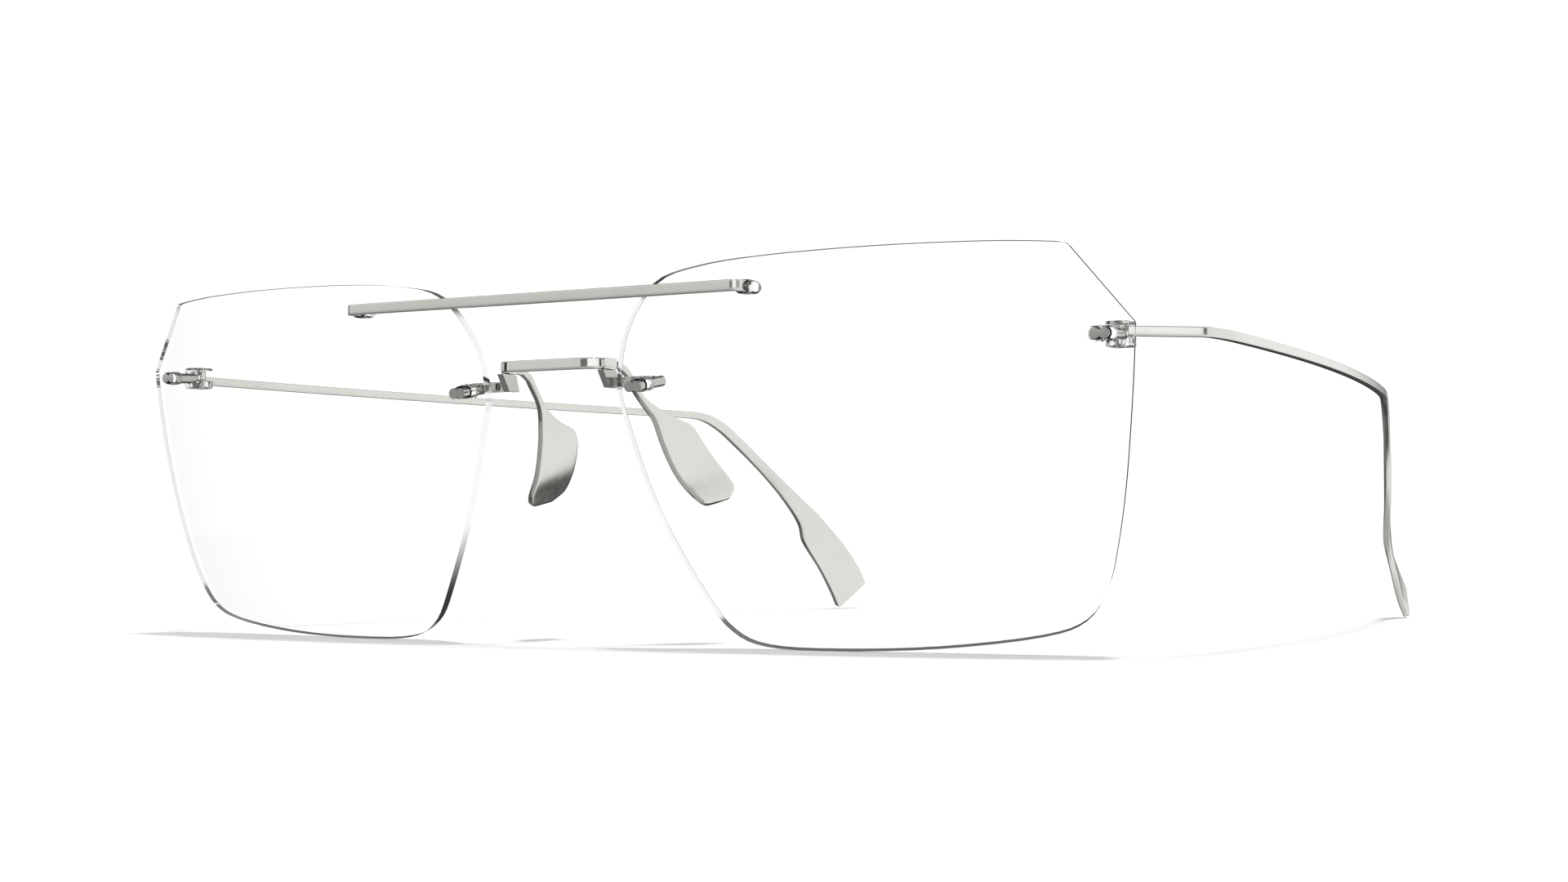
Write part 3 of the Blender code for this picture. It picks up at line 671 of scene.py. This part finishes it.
def drilled(shape, drills):
    """Cuts the holes; the cutters are thrown away afterwards."""
    mesh = bpy.data.meshes.new("undrilled")
    shape.to_mesh(mesh)
    shape.free()
    holder = bpy.data.objects.new("undrilled", mesh)
    bpy.context.scene.collection.objects.link(holder)
    for drill in drills:
        cut = holder.modifiers.new(drill.name, "BOOLEAN")
        cut.operation = "DIFFERENCE"
        cut.solver = "EXACT"
        cut.object = drill
    seen = holder.evaluated_get(bpy.context.evaluated_depsgraph_get())
    shape = bmesh.new()
    shape.from_mesh(seen.to_mesh())
    seen.to_mesh_clear()
    for spent in drills + [holder]:
        bpy.data.objects.remove(spent)
    return shape


# %% [markdown]
# The left lens is the right one mirrored. Its two large surfaces get the normals of a perfect sphere, so
# that nothing seen through them wavers. The rim gets the polished finish, except near the holes, where the
# walls stay clear.

# %% lenses
HOLE_REACH = 2.0
HOLE_GAPS = {"nose_sleeve": -0.09, "hinge_sleeve": -0.09, "bar_plug": 0.05}
RIM_LIMIT = 0.97

for side, sign in SIDES.items():
    shape = lens_solid()
    bmesh.ops.transform(shape, matrix=lens_frame(sign), verts=shape.verts)
    bmesh.ops.recalc_face_normals(shape, faces=shape.faces)
    shape = drilled(shape, [drill_for(f"{part}_{side}", gap) for part, gap in HOLE_GAPS.items()])
    lens = finished(shape, f"finished_lens_{side}", lens_plastic, f"lens_{side}")
    lens.modifiers.clear()
    lens.data.materials.append(polished_rim)
    centre = lens_frame(sign) @ spot(0, 0, -LENS_RADIUS)
    holes = [sum(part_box(f"{part}_{side}"), Vector()) / 2 for part in HOLE_GAPS]
    normals = [Vector()] * len(lens.data.loops)
    for face in lens.data.polygons:
        outwards = (face.center - centre).normalized()
        facing = face.normal.dot(outwards)
        if abs(facing) < RIM_LIMIT:
            nearest = min((face.center - hole).length for hole in holes)
            face.material_index = int(nearest > HOLE_REACH * MM)
            continue
        for loop in face.loop_indices:
            point = lens.data.vertices[lens.data.loops[loop].vertex_index].co
            normals[loop] = (point - centre).normalized() * math.copysign(1.0, facing)
    lens.data.normals_split_custom_set(normals)
    print(lens.name, "rim faces", sum(face.material_index for face in lens.data.polygons))

# %% [markdown]
# The sleeves are pressed into the lenses so tightly that only their rear ends can be told apart from the
# lens. So the front end of each copy is slid along the sleeve until it meets the back surface of the lens.

# %% sleeves
SLEEVE_EDGE = 0.04
SHORTEST_SIDE = 1.5
BEHIND_LENS = 0.02

for side, sign in SIDES.items():
    centre = lens_frame(sign) @ spot(0, 0, -LENS_RADIUS)
    for part in ("nose_sleeve", "hinge_sleeve"):
        shape = merged_copy(f"{part}_{side}")
        lengths = [edge for edge in shape.edges if edge.calc_length() > SHORTEST_SIDE * MM]
        back_radius = (LENS_RADIUS - LENS_THICKNESS - BEHIND_LENS) * MM
        for edge in lengths:
            rear, front = sorted(edge.verts, key=lambda vert: (vert.co - centre).length)
            hits = intersect_line_sphere(front.co, rear.co, centre, back_radius)
            front.co = hits[0] if hits[0] is not None else hits[1]
        round_edges(shape, sharp_edges(shape, STEEP), SLEEVE_EDGE, 2)
        finished(shape, f"finished_{part}_{side}", clear_polymer, f"{part}_{side}")

# %% [markdown]
# ## Table and light
# The glasses stand on a white table that has no visible edge. Clear plastic and polished metal show nothing
# but what is round them, so the surroundings are designed: white where they are looked at directly, and a
# studio of bright and dark fields where they are seen in a reflection.

# %% table
TABLE_HALF_SIZE = 20.0
TABLE_WHITE = (0.92, 0.92, 0.92, 1.0)
TABLE_ROUGHNESS = 0.6
TABLE_DROP = 0.01
HALF_A_BOUNCE = 0.5


def in_a_reflection(tree):
    """1 for what is seen in a reflection, 0 for what is looked at directly or through clear plastic."""
    rays = tree.nodes.new("ShaderNodeLightPath")
    limit = tree.nodes.new("ShaderNodeMath")
    limit.operation = "GREATER_THAN"
    limit.inputs[1].default_value = HALF_A_BOUNCE
    tree.links.new(rays.outputs["Glossy Depth"], limit.inputs[0])
    return limit.outputs["Value"]


table = bmesh.new()
bmesh.ops.create_grid(table, x_segments=1, y_segments=1, size=TABLE_HALF_SIZE)
table_mesh = bpy.data.meshes.new("table")
table.to_mesh(table_mesh)
table.free()
table_top = bpy.data.objects.new("table", table_mesh)
table_top.location.z = cad_box[0].z - TABLE_DROP * MM
bpy.context.scene.collection.objects.link(table_top)
white_table = bpy.data.materials.new("white_table")
shader = shader_of(white_table)
shader.inputs["Base Color"].default_value = TABLE_WHITE
shader.inputs["Roughness"].default_value = TABLE_ROUGHNESS
shader.inputs["Specular IOR Level"].default_value = 0.0
tree = white_table.node_tree
open_air = tree.nodes.new("ShaderNodeBsdfTransparent")
seen = tree.nodes.new("ShaderNodeMixShader")
tree.links.new(in_a_reflection(tree), seen.inputs["Fac"])
tree.links.new(shader.outputs["BSDF"], seen.inputs[1])
tree.links.new(open_air.outputs["BSDF"], seen.inputs[2])
tree.links.new(seen.outputs["Shader"], tree.nodes["Material Output"].inputs["Surface"])
table_mesh.materials.append(white_table)
print("table at", round(table_top.location.z, 6))

# %% [markdown]
# The studio is three rings of fields round the object, one above the other: floor, walls and ceiling, and a
# dark patch straight overhead. A ring is a list of compass directions in degrees, each with a grey. The
# polished bends pick out the narrow fields one after another, as bands, and the flat satin faces each
# average a wide one.

# %% studio surroundings
WHITE = 1.12
TABLE_LIGHT = 0.74
OVERHEAD_GREY = 0.22
CEILING = ((-180, 1.2), (88, 1.2), (98, 0.16), (142, 0.16), (150, 1.2), (180, 1.2))
WALLS = ((-180, 0.9), (-174, 0.9), (-169, 0.05), (-150, 0.05), (-143, 1.2), (-136, 0.9), (-110, 0.9),
         (-106, 0.22), (-76, 0.25), (-70, 1.5), (-28, 1.5), (-20, 1.2), (-15, 0.04), (-2, 0.04), (3, 1.2),
         (75, 1.2), (88, 1.2), (100, 0.05), (146, 0.05), (152, 0.9), (180, 0.9))
FLOOR = ((-180, 0.10), (-160, 0.10), (-135, 0.55), (-60, 0.6), (0, 1.2), (78, 1.2), (84, 0.05), (112, 0.05),
         (119, 0.25), (160, 0.25), (180, 0.10))
FLOOR_TO_WALLS = (-0.03, 0.01)
WALLS_TO_CEILING = (0.30, 0.42)
CEILING_TO_OVERHEAD = (0.66, 0.72)

world = bpy.data.worlds.new("studio")
bpy.context.scene.world = world
world.use_nodes = True
world.cycles.sampling_method = "NONE"
sky = world.node_tree
background = sky.nodes["Background"]
direction = sky.nodes.new("ShaderNodeSeparateXYZ")
sky.links.new(sky.nodes.new("ShaderNodeTexCoord").outputs["Generated"], direction.inputs["Vector"])


def ramp_up(tree, value, start, end):
    """0 before start, 1 after end."""
    node = tree.nodes.new("ShaderNodeMapRange")
    node.inputs["From Min"].default_value = start
    node.inputs["From Max"].default_value = end
    tree.links.new(value, node.inputs["Value"])
    return node.outputs["Result"]


def mixed(tree, factor, first, second):
    """A mix of two colours, each a socket or a grey."""
    node = tree.nodes.new("ShaderNodeMix")
    node.data_type = "RGBA"
    tree.links.new(factor, node.inputs["Factor"])
    for label, value in (("A", first), ("B", second)):
        if isinstance(value, float):
            node.inputs[label].default_value = (value, value, value, 1.0)
        else:
            tree.links.new(value, node.inputs[label])
    return node.outputs["Result"]


compass = sky.nodes.new("ShaderNodeMath")
compass.operation = "ARCTAN2"
sky.links.new(direction.outputs["Y"], compass.inputs[0])
sky.links.new(direction.outputs["X"], compass.inputs[1])
bearing = ramp_up(sky, compass.outputs["Value"], -math.pi, math.pi)


def ring_of_fields(tree, fields):
    """A grey for each compass direction, from pairs of degrees and grey."""
    ramp = tree.nodes.new("ShaderNodeValToRGB")
    tree.links.new(bearing, ramp.inputs["Fac"])
    stops = ramp.color_ramp.elements
    for number, (degrees, grey) in enumerate(fields):
        place = degrees / 360 + 0.5
        stop = stops[0] if number == 0 else stops[-1] if number == len(fields) - 1 else stops.new(place)
        stop.position = place
        stop.color = (grey, grey, grey, 1.0)
    return ramp.outputs["Color"]


height = direction.outputs["Z"]
floor, walls, ceiling = (ring_of_fields(sky, fields) for fields in (FLOOR, WALLS, CEILING))
lower = mixed(sky, ramp_up(sky, height, *FLOOR_TO_WALLS), floor, walls)
upper = mixed(sky, ramp_up(sky, height, *CEILING_TO_OVERHEAD), ceiling, OVERHEAD_GREY)
studio = mixed(sky, ramp_up(sky, height, *WALLS_TO_CEILING), lower, upper)
around = mixed(sky, in_a_reflection(sky), WHITE, studio)
rays = sky.nodes.new("ShaderNodeLightPath")
soft_white = mixed(sky, rays.outputs["Is Diffuse Ray"], around, TABLE_LIGHT)
sky.links.new(soft_white, background.inputs["Color"])
print("studio with", len(FLOOR), "floor,", len(WALLS), "wall and", len(CEILING), "ceiling stops")

# %% [markdown]
# One wide, soft lamp overhead gives the faint shadows on the table. The view transform stays plain, so that
# the greys come out as they are set.

# %% lamp
LAMP_STRENGTH = 1.40
LAMP_WIDTH = math.radians(7.0)
LAMP_TILT = (math.radians(-4.0), math.radians(3.0), 0.0)

sun = bpy.data.lights.new("far soft lamp", "SUN")
sun.energy = LAMP_STRENGTH
sun.angle = LAMP_WIDTH
lamp = bpy.data.objects.new("far soft lamp", sun)
lamp.rotation_euler = LAMP_TILT
bpy.context.scene.collection.objects.link(lamp)
bpy.context.scene.view_settings.view_transform = "Standard"
bpy.context.scene.view_settings.look = "None"
print("one soft lamp overhead")
